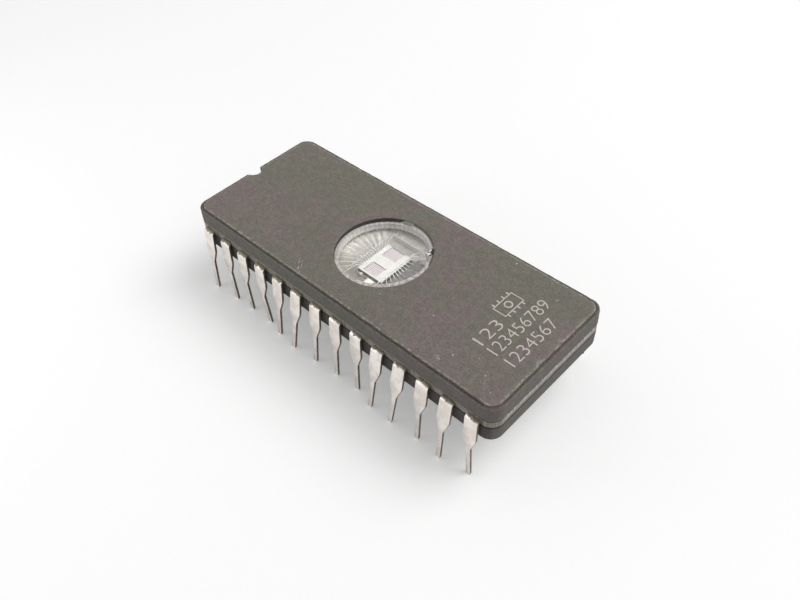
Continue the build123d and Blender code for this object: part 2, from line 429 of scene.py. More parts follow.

# %% [markdown]
# The two halves of the package are pressed alumina powder, coloured brown-grey and fired. The surface is
# dull and gritty. The colour drifts from a pinkish brown to a greenish grey, and handling has paled the
# knocked edges. The foot of the raised top is darker, and painted shade makes everything below the top
# darker and greener, lays a dark band under the seam and darkens the base's long sides. One recipe makes
# both halves. What lies under the window gets painted light and shade, and the cavity, the inner glass and
# the fingers of the leads share a recipe for it.

# %% Ceramic
worn_colour = (186, 178, 168)
# dark grit in pits, a darker ledge foot, and painted shade under the seam
dirt_and_shade_colour = (50, 47, 41)
shaded_colour = (66, 62, 56)
# painted shade: the greener, darker colour laid on everything below the top
wall_shade_colour = (80, 84, 78)
mark_colour = (205, 196, 186)
band_fade = 0.04 * MM
scratches = [
    # from x, y to x, y in mm on the top face, then how wide and how pale
    (-5.1, -5.55, -4.35, -6.3, 0.06, 0.6),
    (-4.35, -6.3, -3.85, -7.0, 0.07, 0.75),
    (-4.75, -5.5, -3.95, -6.35, 0.045, 0.45),
    (-3.95, -6.35, -3.7, -6.9, 0.045, 0.5),
    (11.45, -5.75, 11.95, -6.05, 0.05, 0.6),
    (11.6, -6.1, 12.05, -5.85, 0.04, 0.5),
    (11.3, -5.95, 11.7, -5.9, 0.035, 0.45),
    (6.1, 2.4, 6.9, 3.1, 0.03, 0.3),
    (8.3, 3.9, 9.2, 3.55, 0.03, 0.3),
    (-14.9, 5.5, -14.1, 6.0, 0.03, 0.35),
    (15.9, -5.4, 16.6, -6.2, 0.03, 0.35),
    (14.9, -4.4, 15.2, -6.6, 0.025, 0.2),
    (10.6, 5.7, 11.4, 6.3, 0.03, 0.3),
]
specks = [
    # x, y in mm on the top face, then radius
    (9.9, 6.4, 0.09),
    (12.4, -5.0, 0.09),
    (15.6, -4.9, 0.07),
    (8.5, -2.9, 0.07),
    (5.9, -6.4, 0.06),
    (3.4, -4.0, 0.06),
    (16.9, -5.9, 0.06),
    (-14.3, 5.9, 0.07),
    (15.1, 5.1, 0.07),
    (14.2, -3.9, 0.05),
]


def ceramic(name, green, pink, stains_and_shade):
    """Fired ceramic in blotches of two colours, with the painted light and shade, and any marks, of one
    half.
    """
    look = Look(name)
    drift = look.grain(11, detail=2.0)
    blotch = look.grain(1.9, detail=2.0, roughness=0.6)
    mixed = look.math("ADD", look.times(drift, 0.6), look.times(blotch, 0.4))
    look.base = look.blend(look.step(mixed, 0.40, 0.60), green, pink)
    mottle = look.step(look.grain(0.17, roughness=0.7), 0.30, 0.70, smooth=False)
    look.dim(look.between(mottle, 0.72, 1.28))
    patch = look.step(look.grain(0.5, detail=2.0), 0.35, 0.65)
    look.dim(look.between(patch, 0.92, 1.08))
    grit = look.grain(0.09, detail=2.0)
    pits = look.step(look.cells(0.55), 0.16, 0.05)
    look.paint(pits, dirt_and_shade_colour, 0.4)
    ragged = look.grain(0.3, detail=5.0, roughness=0.75)
    rubbed = look.times(look.attribute("wear"), look.step(ragged, 0.46, 0.54))
    look.paint(rubbed, worn_colour, 0.8)
    # darker at the foot of the raised top and on the ledge
    dirt = look.times(look.attribute("dirt"), look.step(ragged, 0.33, 0.48))
    look.paint(dirt, dirt_and_shade_colour, 0.95)
    look.paint(look.attribute("shade"), shaded_colour)
    # painted shade: everything below the top face, walls and base alike, is made darker and greener
    wall_shade = look.step(look.axis(2), cap_high.z - 0.3 * MM, cap_high.z - 0.17 * MM)
    look.dim(look.between(wall_shade, 0.74, 1.0))
    look.paint(look.between(wall_shade, 0.3, 0.0), wall_shade_colour)
    stains_and_shade(look)
    bump = look.relief(grit, 0.012)
    bump = look.relief(look.grain(0.6, detail=4.0, roughness=0.6), 0.05, bump)
    bump = look.relief(look.times(pits, -1.0), 0.015, bump)
    return look.finish(Roughness=look.between(grit, 0.58, 0.82), Normal=bump)


def cap_marks_and_painted_light(look):
    """Painted light on the wall of the hole below the ring, like that under the window, and pale marks."""
    below_ring = look.step(look.axis(2), seal_low.z - 0.1 * MM, seal_low.z - 0.16 * MM)
    lit = look.times(below_ring, look.step(look.from_middle(), 6.4 * MM, 6.0 * MM))
    # painted light lifts the shade on the hole's wall below the ring
    look.paint(lit, painted_light_under_window(look, 1.6))
    look.paint(pale_marks(look), mark_colour)


def base_painted_light_and_shade(look):
    """Painted shade in a band under the seam and on the long sides, and painted light and shade in the
    cavity.
    """
    # painted shade: a dark band just under the seam
    low, high = base_high.z - 0.22 * MM, base_high.z - 0.06 * MM
    height = look.axis(2)
    above = look.step(height, low - band_fade, low)
    below = look.step(height, high + band_fade, high)
    look.paint(look.times(above, below), dirt_and_shade_colour, 0.9)
    # painted shade: the long sides, between the leads, are made much darker
    sideways = look.math("ABSOLUTE", look.axis(1))
    long_side = look.step(sideways, base_high.y - 0.5 * MM, base_high.y - 0.2 * MM)
    look.dim(look.between(long_side, 1.0, 0.52))
    # painted light and shade in the cavity under the window
    look.paint(look.attribute("inside"), painted_light_under_window(look, 0.92))


def painted_light_under_window(look, gain):
    """Painted light and shade: pale on the left and behind, darker in front and on the right, lighter
    further out and with more gain.
    """
    cloud = look.between(look.step(look.grain(0.45), 0.3, 0.7), 0.9 * gain, 1.1 * gain)
    # painted light further out, where the cap's edge shades what lies under it
    outward = look.step(look.from_middle(), 2.6 * MM, 4.2 * MM)
    cloud = look.times(cloud, look.between(outward, 1.0, 1.4))
    # painted shade and reflection: darker on the right and in front, pale on the left and behind
    right = look.step(look.axis(0), 0.2 * MM, 1.4 * MM)
    behind = look.step(look.axis(1), 1.9 * MM, 2.5 * MM)
    in_front = look.step(look.axis(1), -0.8 * MM, -2.6 * MM)
    left_side = look.blend(in_front, (180, 176, 171), (132, 128, 118))
    right_side = look.blend(behind, (128, 124, 121), (206, 198, 197))
    return look.scaled(look.blend(right, left_side, right_side), cloud)


def pale_marks(look):
    """Where the top is scratched or has a bright speck on it, from 0 to 1."""
    flat = look.stretched((1, 1, 0))
    total = None
    for x0, y0, x1, y1, width, strength in scratches:
        start = Vector((x0, y0, 0)) * MM
        way = Vector((x1 - x0, y1 - y0, 0)) * MM
        offset = look.vector("SUBTRACT", flat, start)
        along = look.vector("DOT_PRODUCT", offset, way / way.length_squared)
        share = look.math("MULTIPLY", along, 1.0, clamp=True)
        apart = look.vector("DISTANCE", offset, look.scaled(way, share))
        mark = look.times(look.step(apart, width * MM, 0.3 * width * MM), strength)
        total = mark if total is None else look.math("MAXIMUM", total, mark)
    broken = look.step(look.grain(0.25), 0.38, 0.55)
    total = look.times(total, broken)
    for x, y, radius in specks:
        apart = look.vector("DISTANCE", flat, Vector((x, y, 0)) * MM)
        total = look.math("MAXIMUM", total, look.step(apart, radius * MM, 0.5 * radius * MM))
    return total


cap_ceramic = ceramic("cap_ceramic", (113, 111, 99), (121, 109, 106), cap_marks_and_painted_light)
base_ceramic = ceramic("base_ceramic", (104, 103, 95), (110, 101, 97), base_painted_light_and_shade)
print("ceramic recipes:", cap_ceramic.name, base_ceramic.name)

# %% [markdown]
# A pressed edge is never quite straight: powder drags on the tool, and every knock takes a crumb. The copy
# of each half is sliced into a grid, and its vertices are pushed in by noise. Vertices on a sharp edge go in
# further, and the same number is kept as a wear attribute, so the recipe can pale them. Three more
# attributes say where a vertex lies: a darker foot of the raised top and ledge, painted shade on the wall of
# the window's hole, and inside for the cavity under it.

# %% Cap and base
cap_grid = 0.3 * MM
base_grid = 0.45 * MM
face_set_back = 0.006 * MM
face_unevenness = 0.012 * MM
edge_unevenness = 0.05 * MM
sharpness_gain = 9.0
smooth_rim = 0.3 * MM
smooth_rim_share = 0.2
lumps_per_mm, crumbs_per_mm = 0.6, 1.9
nick_sink = 0.8
rough_end = 1.0 * MM
rough_end_share = 0.4
step_height = 0.15 * MM
wall_normal = 0.3
close = 0.01 * MM
cavity_level = die_low.z - 0.1 * MM
hole_radius = seal_high.x
front, right = -7.02, 18.16
nicks = [
    # x, y in mm near the edge of the top, then how wide and how deep
    (1.3, front, 0.35, 0.09),
    (3.5, front, 0.25, 0.07),
    (5.2, front, 0.45, 0.08),
    (8.9, front, 0.4, 0.1),
    (11.2, front, 0.3, 0.07),
    (14.1, front, 0.35, 0.08),
    (-8.3, front, 0.3, 0.06),
    (right, 1.6, 0.5, 0.1),
    (right, 0.3, 0.35, 0.08),
    (right, -1.2, 0.6, 0.12),
    (right, -2.6, 0.4, 0.09),
    (right, -3.4, 0.4, 0.1),
    (right, 4.4, 0.4, 0.08),
    (17.0, -front, 0.35, 0.1),
    (9.8, -front, 0.3, 0.07),
]
crumb_place = (18.3, 4.95, 5.14)
crumb_radius = 0.13


def roughen(bm, seed):
    """Pushes a pressed piece's vertices in by noise, and stores its wear, darker ledge and painted shade."""
    new_layer = bm.verts.layers.float.new
    wear_layer, ledge_dark_layer, shade_layer, inside_layer = map(new_layer, ("wear", "dirt", "shade", "inside"))
    ledge_level = cap_high.z - step_height
    bm.normal_update()
    for v in bm.verts:
        from_middle = v.co.xy.length
        in_cap = v.co.z > seam_high.z - close
        if in_cap and from_middle < hole_radius + 2 * close and v.co.z < cap_high.z:
            v[shade_layer] = 1.0
            continue
        if not in_cap and from_middle < hole_radius and v.co.z > cavity_level:
            v[inside_layer] = 1.0
            continue
        if in_cap and v.co.z > ledge_level - close:
            v[ledge_dark_layer] = ledge_darkening(v, ledge_level)
        foot = v[ledge_dark_layer] > 0.9
        sharp = 0.0 if foot else min(1.0, max(0.0, (v.calc_shell_factor() - 1.0) * sharpness_gain))
        if from_middle < hole_radius + smooth_rim:
            sharp *= smooth_rim_share
        place = v.co / MM
        coarse = 0.5 + 0.5 * noise.noise(place * lumps_per_mm + seed)
        crumb = max(0.0, noise.noise(place * crumbs_per_mm + seed * 2) - 0.05)
        end_gain = 1.0 + rough_end_share * (v.co.x > cap_high.x - rough_end)
        depth = face_set_back + face_unevenness * coarse
        depth += edge_unevenness * sharp * end_gain * (0.35 * coarse + 1.6 * crumb)
        v[wear_layer] = min(1.0, sharp * (0.8 + 1.6 * crumb)) * (v.co.z > ledge_level)
        v.co -= v.normal * depth


def ledge_darkening(v, ledge_level):
    """Full at the foot of the raised top, half up its wall and a little more out on the ledge."""
    if any(abs(f.normal.z) < wall_normal and f.calc_center_median().z > v.co.z for f in v.link_faces):
        return 1.0 if v.co.z < ledge_level + close else 0.5
    return 0.6 if v.co.z < cap_high.z - close else 0.0


def way_out(x, y, long_side):
    """Square to the wall on a long side, and away from the middle elsewhere."""
    return Vector((0, 1 if y > 0 else -1, 0)) if long_side else Vector((x, y, 0)).normalized()


def knock(bm, places, level):
    """Presses small dents into an edge at one level."""
    wear_layer = bm.verts.layers.float["wear"]
    for x, y, width, depth in places:
        centre = Vector((x, y, level / MM)) * MM
        push = Vector((0, 0, -nick_sink)) - way_out(x, y, long_side=abs(y) == -front)
        for v in bm.verts:
            apart = (v.co - centre).length / (width * MM)
            if apart < 1.0:
                share = (1 - apart * apart) ** 2
                v.co += push * depth * MM * share
                v[wear_layer] = max(v[wear_layer], share)


def pressed_half(node, grid, seed):
    bm = solid_copy(node)
    slice_across(bm, 0, grid)
    slice_across(bm, 1, grid)
    roughen(bm, seed)
    return bm


def add_crumb(bm):
    """A crumb of glass that was left stuck under the base's end."""
    made = bmesh.ops.create_icosphere(bm, subdivisions=2, radius=crumb_radius * MM)["verts"]
    for v in made:
        v.co *= 0.8 + 0.4 * noise.noise(v.co / MM * 6)
        v.co += Vector(crumb_place) * MM


cap_mesh = pressed_half("ceramic_cap", cap_grid, Vector((3, 7, 1)))
knock(cap_mesh, nicks, cap_high.z)
cap = add_piece("cap_pressing", cap_mesh, [cap_ceramic], ["ceramic_cap"])
base_mesh = pressed_half("ceramic_base", base_grid, Vector((9, 2, 5)))
add_crumb(base_mesh)
base = add_piece("base_pressing", base_mesh, [base_ceramic], ["ceramic_base"])
print("faces:", len(cap.data.polygons), "in the cap and", len(base.data.polygons), "in the base")

# %% [markdown]
# Base and cap are joined by a low-melting glass that was screened on both, so a pale seam runs round the
# package. At the ends its upper part is bright and finely wrinkled and its lower part is dull. Along the
# rows of leads it is dull and stained all over. The wrinkles are real: the seam's walls are sliced upright
# at close steps, and each slice is drawn in by its own amount.

# %% Glass seam
wrinkle_step = 0.16 * MM
wrinkle_depth = 0.07 * MM
wall_margin = 0.02 * MM
well_rim = 3.25 * MM
end_depth = 2 * MM
bright_to, dull_from = seam_high.z - 0.22 * MM, seam_high.z - 0.34 * MM


def seam_material():
    look = Look("seam_glass")
    upright = look.stretched((1, 1, 0.12))
    streak = look.grain(0.15, roughness=0.6, place=upright)
    look.base = look.blend(look.step(streak, 0.38, 0.64), (106, 102, 96), (198, 194, 188))
    tint = look.step(look.grain(1.1, detail=2.0), 0.45, 0.58)
    look.paint(tint, (182, 160, 156), 0.35)
    crack = look.step(look.grain(0.11, detail=2.0, place=upright), 0.60, 0.66)
    look.paint(crack, (86, 82, 74), 0.7)
    lower = look.step(look.axis(2), bright_to, dull_from)
    look.paint(lower, look.blend(streak, (104, 96, 90), (144, 134, 126)))
    sideways = look.math("ABSOLUTE", look.axis(1))
    long_side = look.step(sideways, seam_high.y - 1.6 * MM, seam_high.y - 0.9 * MM)
    dull = look.blend(look.step(streak, 0.4, 0.6), (100, 96, 86), (136, 126, 110))
    look.paint(long_side, dull)
    # painted light and shade on the glass under the window
    look.paint(look.attribute("inside"), pocket_glass(look))
    return look.finish(Roughness=0.35, Normal=look.relief(streak, 0.03), Specular_IOR_Level=0.6)


def pocket_glass(look):
    """The glass seen through the window, with painted light and shade, and a painted highlight along its
    rim.
    """
    from_rim = look.math("ABSOLUTE", look.math("SUBTRACT", look.math("ABSOLUTE", look.axis(1)), well_rim))
    # painted highlight: a bright line along the rim of the cavity
    rim = look.step(from_rim, 0.07 * MM, 0.03 * MM)
    return look.blend(rim, painted_light_under_window(look, 1.12), (226, 222, 218))


def is_outer_wall(face):
    centre = face.calc_center_median()
    outside = abs(centre.x) > seam_high.x - end_depth or abs(centre.y) > seam_high.y - wall_margin
    return outside and abs(face.normal.z) < wall_normal


def seam():
    bm = solid_copy("sealing_glass")
    bm.normal_update()
    for axis in (0, 1):
        slice_across(bm, axis, wrinkle_step, lambda mesh: [f for f in mesh.faces if is_outer_wall(f)])
    inside_layer = bm.verts.layers.float.new("inside")
    for v in bm.verts:
        outer = any(is_outer_wall(f) for f in v.link_faces)
        v[inside_layer] = 0.0 if outer else 1.0
        if outer:
            along = Vector((v.co.x, v.co.y, 0)) / MM
            wave = 0.5 + 0.3 * noise.noise(along * 3.1) + 0.3 * noise.noise(along * 0.7)
            long_side = abs(v.co.y) > seam_high.y - wall_margin
            v.co -= way_out(v.co.x, v.co.y, long_side) * wrinkle_depth * wave
    return add_piece("seam_glass", bm, [seam_material()], ["sealing_glass"])


seam_piece = seam()
print("faces in the seam:", len(seam_piece.data.polygons))

# %% [markdown]
# Each lead is stamped from thin nickel-iron strip and dipped in tin. The broad faces are bright and satin,
# and the stamped edges are darker because the strip shows there. On the shoulders, beside the glass, the tin
# stops in an olive stain. The fingers under the window take the painted light and shade of the glass round
# them, darker on top and brighter at the edges as painted highlight. Stamping rounds every edge a little, so
# each copy is bevelled, and its faces are sorted by where they are.

# %% Leads
lead_edge_radius = 0.03 * MM
lead_count = 28
stain_low = 7.06 * MM
stain_fade = 0.14 * MM
stain_raggedness = 0.35 * MM
stain_drop = 0.1 * MM


def tin_material():
    look = Look("lead_tin")
    brushed = look.grain(0.3, detail=4.0, roughness=0.6, place=look.stretched((1, 1, 0.25)))
    cloud = look.grain(0.9, detail=2.0)
    look.base = look.blend(look.step(cloud, 0.35, 0.65), (232, 223, 215), (248, 242, 236))
    dull = look.step(brushed, 0.58, 0.72)
    look.paint(dull, (198, 186, 174), 0.4)
    spread = look.grain(0.35, detail=4.0, roughness=0.7)
    ragged = look.between(spread, -stain_raggedness, stain_raggedness)
    height = look.math("ADD", look.axis(2), ragged)
    lower = look.step(look.axis(0), 2 * MM, -6 * MM)
    height = look.math("ADD", height, look.times(lower, stain_drop))
    stain = look.step(height, stain_low, stain_low + stain_fade)
    stained = look.blend(spread, (112, 106, 88), (166, 156, 136))
    look.paint(stain, stained, 0.95)
    rough = look.math("ADD", look.between(cloud, 0.26, 0.42), look.times(stain, 0.2))
    metal = look.between(stain, 0.85, 0.3)
    return look.finish(Metallic=metal, Roughness=rough, Normal=look.relief(brushed, 0.012))


def cut_edge_material():
    look = Look("lead_cut_edge")
    streak = look.grain(0.12, place=look.stretched((1, 1, 0.2)))
    look.base = look.blend(look.step(streak, 0.35, 0.7), (88, 86, 70), (138, 134, 116))
    return look.finish(Metallic=0.6, Roughness=0.48, Normal=look.relief(streak, 0.01))


def finger_material(name, gain):
    """Metal under the window, with the painted light and shade of the glass beside it."""
    look = Look(name)
    look.base = painted_light_under_window(look, gain)
    return look.finish(Metallic=0.1, Roughness=0.6, Normal=look.relief(look.grain(0.25), 0.01))


def bevelled(bm, width, sharp_angle, clamp=False):
    """Rounds every edge that turns by more than the given angle."""
    sharp = [e for e in bm.edges if e.is_manifold and e.calc_face_angle() > sharp_angle]
    bmesh.ops.bevel(
        bm, geom=sharp, offset=width, offset_type="OFFSET", segments=2, profile=0.5,
        affect="EDGES", clamp_overlap=clamp, material=-1,
    )
    return bm


def add_leads():
    finishes = [
        tin_material(),
        cut_edge_material(),
        # the finger tops are a darker copy, and their edges a brighter one as painted highlight
        finger_material("finger_metal", 0.78),
        finger_material("finger_edge_painted_highlight", 1.9),
    ]
    for number in range(1, lead_count + 1):
        node = f"lead_{number:02d}"
        bm = bevelled(solid_copy(node), lead_edge_radius, radians(30), clamp=True)
        bm.normal_update()
        for f in bm.faces:
            centre = f.calc_center_median()
            if abs(centre.y) < seam_high.y - wall_margin:
                f.material_index = 2 if abs(f.normal.z) > 0.9 else 3
            elif abs(f.normal.x) > 0.75:
                f.material_index = 1
        add_piece(f"tinned_{node}", bm, finishes, [node])


add_leads()

# %% [markdown]
# The window is a disc of clear ultraviolet glass, held by a ring of milky solder glass. It settled a little
# askew, so the wall of the hole shows above it on one side only. The disc is made level and then laid where
# the imported one lies, and its two faces are shaded flat, because a smoothed face would bend light like a
# lens. A glass shader alone would block the lamps, so rays that only test for shadow pass straight through.
# The ring creeps a little over the disc on the near side. On the far side it has swelled up to the edge of
# the hole and carries faint lines, and on the right the swelling is painted dark as shade. One spot of it is
# shattered, with painted glints.

# %% Window
ring_steps = 144
lens_edge_radius = 0.05 * MM
seal_steps = 5
seal_wobble = 0.03 * MM
seal_rise = 0.012 * MM
seal_clear = 0.06 * MM
seal_foot = seal_low.z - 0.16 * MM
overflow = 0.45 * MM
overflow_heading = radians(62)
overflow_half = radians(42)
overflow_fade = radians(12)
chipped_place = (3.15, 2.7, 9.0)
chipped_radii = (0.62 * MM, 0.4 * MM)
creep_least, creep_near, creep_chipped = 0.03, 0.1, 0.45
creep_heading = radians(-50)
chipped_half = radians(8)
lines_around = 56.0


def clear_glass():
    look = Look("window_glass")
    dust = look.step(look.grain(0.5, detail=5.0, roughness=0.75), 0.62, 0.80)
    look.finish(
        Base_Color=(0.97, 0.98, 0.97, 1.0),
        Roughness=look.between(dust, 0.02, 0.22),
        IOR=1.5,
        Transmission_Weight=1.0,
    )
    mix = look.add("MixShader")
    look.join(look.add("LightPath").outputs["Is Shadow Ray"], mix.inputs[0])
    look.join(look.shader.outputs[0], mix.inputs[1])
    look.join(look.add("BsdfTransparent").outputs[0], mix.inputs[2])
    look.show(mix)
    return look.material


def solder_glass():
    look = Look("seal_ring_glass")
    cloud = look.grain(0.4, detail=4.0, roughness=0.65)
    mottled = look.blend(look.step(cloud, 0.38, 0.60), (176, 167, 162), (222, 213, 209))
    plain = look.blend(cloud, (198, 194, 189), (220, 216, 211))
    nearer = look.vector("DOT_PRODUCT", look.place, Vector((0.64, -0.77, 0)))
    look.base = look.blend(look.step(nearer, -1.5 * MM, 0.5 * MM), plain, mottled)
    around = look.math("ARCTAN2", look.axis(1), look.axis(0))
    lines = look.step(look.math("SINE", look.times(around, lines_around)), 0.1, 0.9)
    lines = look.times(lines, look.between(look.step(cloud, 0.35, 0.6), 0.15, 0.6))
    lines = look.times(lines, look.step(nearer, -1.0 * MM, -2.4 * MM))
    look.paint(lines, (244, 241, 237))
    raised = look.attribute("raised")
    left = look.step(look.axis(0), -0.3 * MM, -0.7 * MM)
    left_swelling = look.times(left, look.step(raised, 0.15, 0.4))
    look.paint(left_swelling, (150, 148, 138))
    # painted shade: the right part of the swelling, under the edge of the hole, is dark green-grey
    right_swelling_shade = look.times(look.math("SUBTRACT", 1.0, left), look.step(raised, 0.5, 0.75))
    look.paint(right_swelling_shade, (82, 88, 80))
    bubbles = look.step(look.cells(0.3), 0.30, 0.12)
    look.paint(bubbles, (120, 112, 106), 0.2)
    # the shattered spot: its white flecks are painted glints, among black flecks
    from_chips = look.vector("DISTANCE", look.place, Vector(chipped_place) * MM)
    chips = look.step(look.grain(0.3, detail=2.0), 0.46, 0.52)
    shattered = look.blend(chips, (30, 30, 28), (250, 250, 250))
    look.paint(look.step(from_chips, *chipped_radii), shattered)
    return look.finish(Roughness=0.2, Normal=look.relief(cloud, 0.04))


def packed_lie():
    """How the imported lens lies: its middle, the way its top faces, its thickness and its radius."""
    bm = solid_copy("window_lens")
    bm.normal_update()
    top = max((f for f in bm.faces if f.normal.z > 0.9), key=lambda f: f.calc_area())
    bottom = max((f for f in bm.faces if f.normal.z < -0.9), key=lambda f: f.calc_area())
    high, low = top.calc_center_median(), bottom.calc_center_median()
    radius = max((v.co - low).length for v in bottom.verts)
    facing = (high - low).normalized()
    lie = ((high + low) / 2, facing, (high - low).length, radius)
    bm.free()
    return lie


def add_lens():
    middle, facing, thickness, radius = packed_lie()
    bm = bmesh.new()
    bmesh.ops.create_cone(
        bm, cap_ends=True, segments=ring_steps, radius1=radius, radius2=radius, depth=thickness
    )
    bevelled(bm, lens_edge_radius, radians(60))
    turn = Vector((0, 0, 1)).rotation_difference(facing).to_matrix().to_4x4()
    bm.transform(Matrix.Translation(middle) @ turn)
    lens = add_piece("clear_lens", bm, [clear_glass()], ["window_lens"])
    for face in lens.data.polygons:
        if abs(face.normal.dot(facing)) > 0.999:
            face.use_smooth = False


def creep(angle):
    """How far the ring's glass creeps over the lens: most on the near side and where the ring is chipped."""
    nearer = max(0.0, cos(angle - creep_heading))
    chipped = max(0.0, 1 - abs(angle - atan2(chipped_place[1], chipped_place[0])) / chipped_half)
    return (creep_least + creep_near * nearer + creep_chipped * chipped) * MM


def swelling(angle):
    """1 where the ring's glass swelled up to the edge of the hole, and 0 elsewhere."""
    beside = abs(angle - overflow_heading) - overflow_half
    return 0.5 + 0.5 * cos(pi * min(1.0, max(0.0, beside / overflow_fade)))


def add_seal():
    """The ring is spun level from its section, and then its top is laid along the lens, with some noise."""
    middle, facing, thickness, inner = packed_lie()
    top_middle = middle + facing * thickness / 2
    section = [(inner, seal_foot), (hole_radius, seal_foot)]
    for i in range(seal_steps + 1):
        section.append((hole_radius + (inner - hole_radius) * i / seal_steps, top_middle.z))
    bm = bmesh.new()
    corners = [bm.verts.new((radius, 0, z)) for radius, z in section]
    edges = [bm.edges.new((corners[i - 1], corners[i])) for i in range(len(corners))]
    bmesh.ops.spin(
        bm, geom=corners + edges, cent=(0, 0, 0), axis=(0, 0, 1), angle=2 * pi, steps=ring_steps,
        use_merge=True,
    )
    bmesh.ops.remove_doubles(bm, verts=bm.verts, dist=weld_distance)
    bmesh.ops.recalc_face_normals(bm, faces=bm.faces)
    raised_layer = bm.verts.layers.float.new("raised")
    for v in bm.verts:
        angle = atan2(v.co.y, v.co.x)
        across = (v.co.xy.length - inner) / (hole_radius - inner)
        v.co.xy *= 1 - (1 - across) * creep(angle) / inner
        if v.co.z > top_middle.z - weld_distance:
            v.co.z -= facing.xy.dot(v.co.xy - top_middle.xy) / facing.z
            wobble = noise.noise(Vector((5 * cos(angle), 5 * sin(angle), 4 * across)))
            lift = seal_rise + seal_wobble * across * wobble + overflow * swelling(angle) * across * across
            v[raised_layer] = swelling(angle) * across
            v.co.z = min(v.co.z + lift, cap_high.z - seal_clear)
    add_piece("seal_ring", bm, [solder_glass()], ["window_seal"])


add_lens()
add_seal()
print("window radius", round(seal_high.x / MM, 2), "mm")

# %% [markdown]
# Under the glass lies the silicon chip. Its face is bright and polished, with two duller fields of memory
# cells, a row of small bond pads along each of two edges and a bright frame round them. The fields and pads
# are thin plates on the face, as the real layers are, only thicker than real ones so that they catch the
# light.

# %% Silicon chip
die_size = die_high - die_low
layer = 0.006 * MM
pad_side = 0.11 * MM
pads_per_side = 14
pad_pitch = 0.26 * MM
pad_inset = 0.1 * MM
field_left, field_right = 0.21, 0.73
field_spans = [(0.045, 0.345), (0.66, 0.965)]
decoder_share = 0.03
cell_row_scale = 0.33 / (0.2 * MM)


def silicon_material():
    look = Look("silicon")
    faint = look.grain(0.2)
    look.base = look.blend(faint, (226, 222, 218), (242, 238, 234))
    sides = look.step(look.axis(2), die_high.z - 0.02 * MM, die_high.z - 0.03 * MM)
    look.paint(sides, (92, 90, 88))
    return look.finish(Metallic=0.5, Roughness=0.25)


def cell_field_material():
    look = Look("memory_cells")
    wave = look.add("TexWave")
    wave.bands_direction = "X"
    look.feed(wave, Vector=look.place, Scale=cell_row_scale, Distortion=0.0, Detail=0.0)
    look.base = look.blend(wave.outputs["Fac"], (176, 163, 167), (226, 213, 215))
    return look.finish(Metallic=0.3, Roughness=0.3)


def grained_metal(name, size, low, high, **finish):
    """A thin metal layer whose two shades lie in a fine grain."""
    look = Look(name)
    look.base = look.blend(look.grain(size), low, high)
    return look.finish(**finish)


def plate(bm, x, y, length, width):
    """Adds a thin rectangular plate with its middle at x and y on the chip's face."""
    made = bmesh.ops.create_cube(bm, size=1.0)["verts"]
    bmesh.ops.scale(bm, vec=(length, width, layer), verts=made)
    bmesh.ops.translate(bm, vec=(x, y, die_high.z + layer / 2), verts=made)


def plate_between(bm, x0, y0, x1, y1):
    """The same between two corners, given as shares of the chip's length and width."""
    x = die_low.x + die_size.x * (x0 + x1) / 2
    y = die_low.y + die_size.y * (y0 + y1) / 2
    plate(bm, x, y, die_size.x * (x1 - x0), die_size.y * (y1 - y0))


def add_chip():
    dress("die", silicon_material())
    fields = bmesh.new()
    decoders = bmesh.new()
    for low_y, high_y in field_spans:
        plate_between(fields, field_left, low_y, field_right, high_y)
        plate_between(decoders, field_left - decoder_share, low_y, field_left, high_y)
        plate_between(decoders, field_left, high_y, field_right, high_y + decoder_share)
    add_piece("memory_fields", fields, [cell_field_material()], smooth=False)
    dull = grained_metal("row_decoders", 0.08, (96, 92, 92), (136, 132, 132), Metallic=0.3, Roughness=0.35)
    add_piece("row_decoders", decoders, [dull], smooth=False)
    pads = bmesh.new()
    for side in (-1, 1):
        for i in range(pads_per_side):
            y = (i - (pads_per_side - 1) / 2) * pad_pitch
            plate(pads, side * (die_high.x - pad_inset), y, pad_side, pad_side)
    bright = grained_metal("bond_pads", 0.05, (235, 232, 226), (250, 248, 244), Metallic=0.9, Roughness=0.3)
    add_piece("bond_pads", pads, [bright], smooth=False)


def plain_material(name, low, high, size, stains_and_shade=None, **finish):
    """A mottled material for the small inner pieces."""
    look = Look(name)
    cloud = look.grain(size, detail=4.0)
    look.base = look.blend(look.step(cloud, 0.35, 0.65), low, high)
    if stains_and_shade:
        stains_and_shade(look)
    return look.finish(Normal=look.relief(cloud, 0.1 * size), **finish)


def paste_painted_shade(look):
    """Painted shade: the silver paste that holds the chip is painted dark along the chip's right edge."""
    look.paint(look.step(look.axis(0), 1.3 * MM, 1.5 * MM), (112, 110, 106))


add_chip()
paste = plain_material("die_paste", (196, 190, 180), (246, 240, 230), 0.3, paste_painted_shade, Roughness=0.5)
dress("die_attach", paste)
plating = plain_material("plated_block", (232, 220, 204), (250, 242, 230), 0.3, Roughness=0.45)
dress("ground_block", plating)
print("chip is", [round(side / MM, 2) for side in die_size], "mm")

# %% [markdown]
# Fine aluminium wires join the chip's pads to the fingers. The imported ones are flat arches, one loose part
# each, and every part gives the two ends and the height of its wire. A round curve draws the real wire along
# that arch, and the curves are turned into one mesh.

# %% Bond wires
wire_radius = 0.024 * MM
# how far along its way a wire is, and how far up, for six points
wire_shape = [(0, 0), (0.08, 0.6), (0.25, 1.1), (0.5, 1.0), (0.8, 0.45), (1, 0)]


def loose_parts(bm):
    """The separate parts of a mesh, each as a list of vertices, in the order of their first vertex."""
    waiting = {v.index: v for v in bm.verts}
    while waiting:
        part = [waiting.pop(next(iter(waiting)))]
        for v in part:
            for e in v.link_edges:
                other = waiting.pop(e.other_vert(v).index, None)
                if other:
                    part.append(other)
        yield [v.co.copy() for v in part]


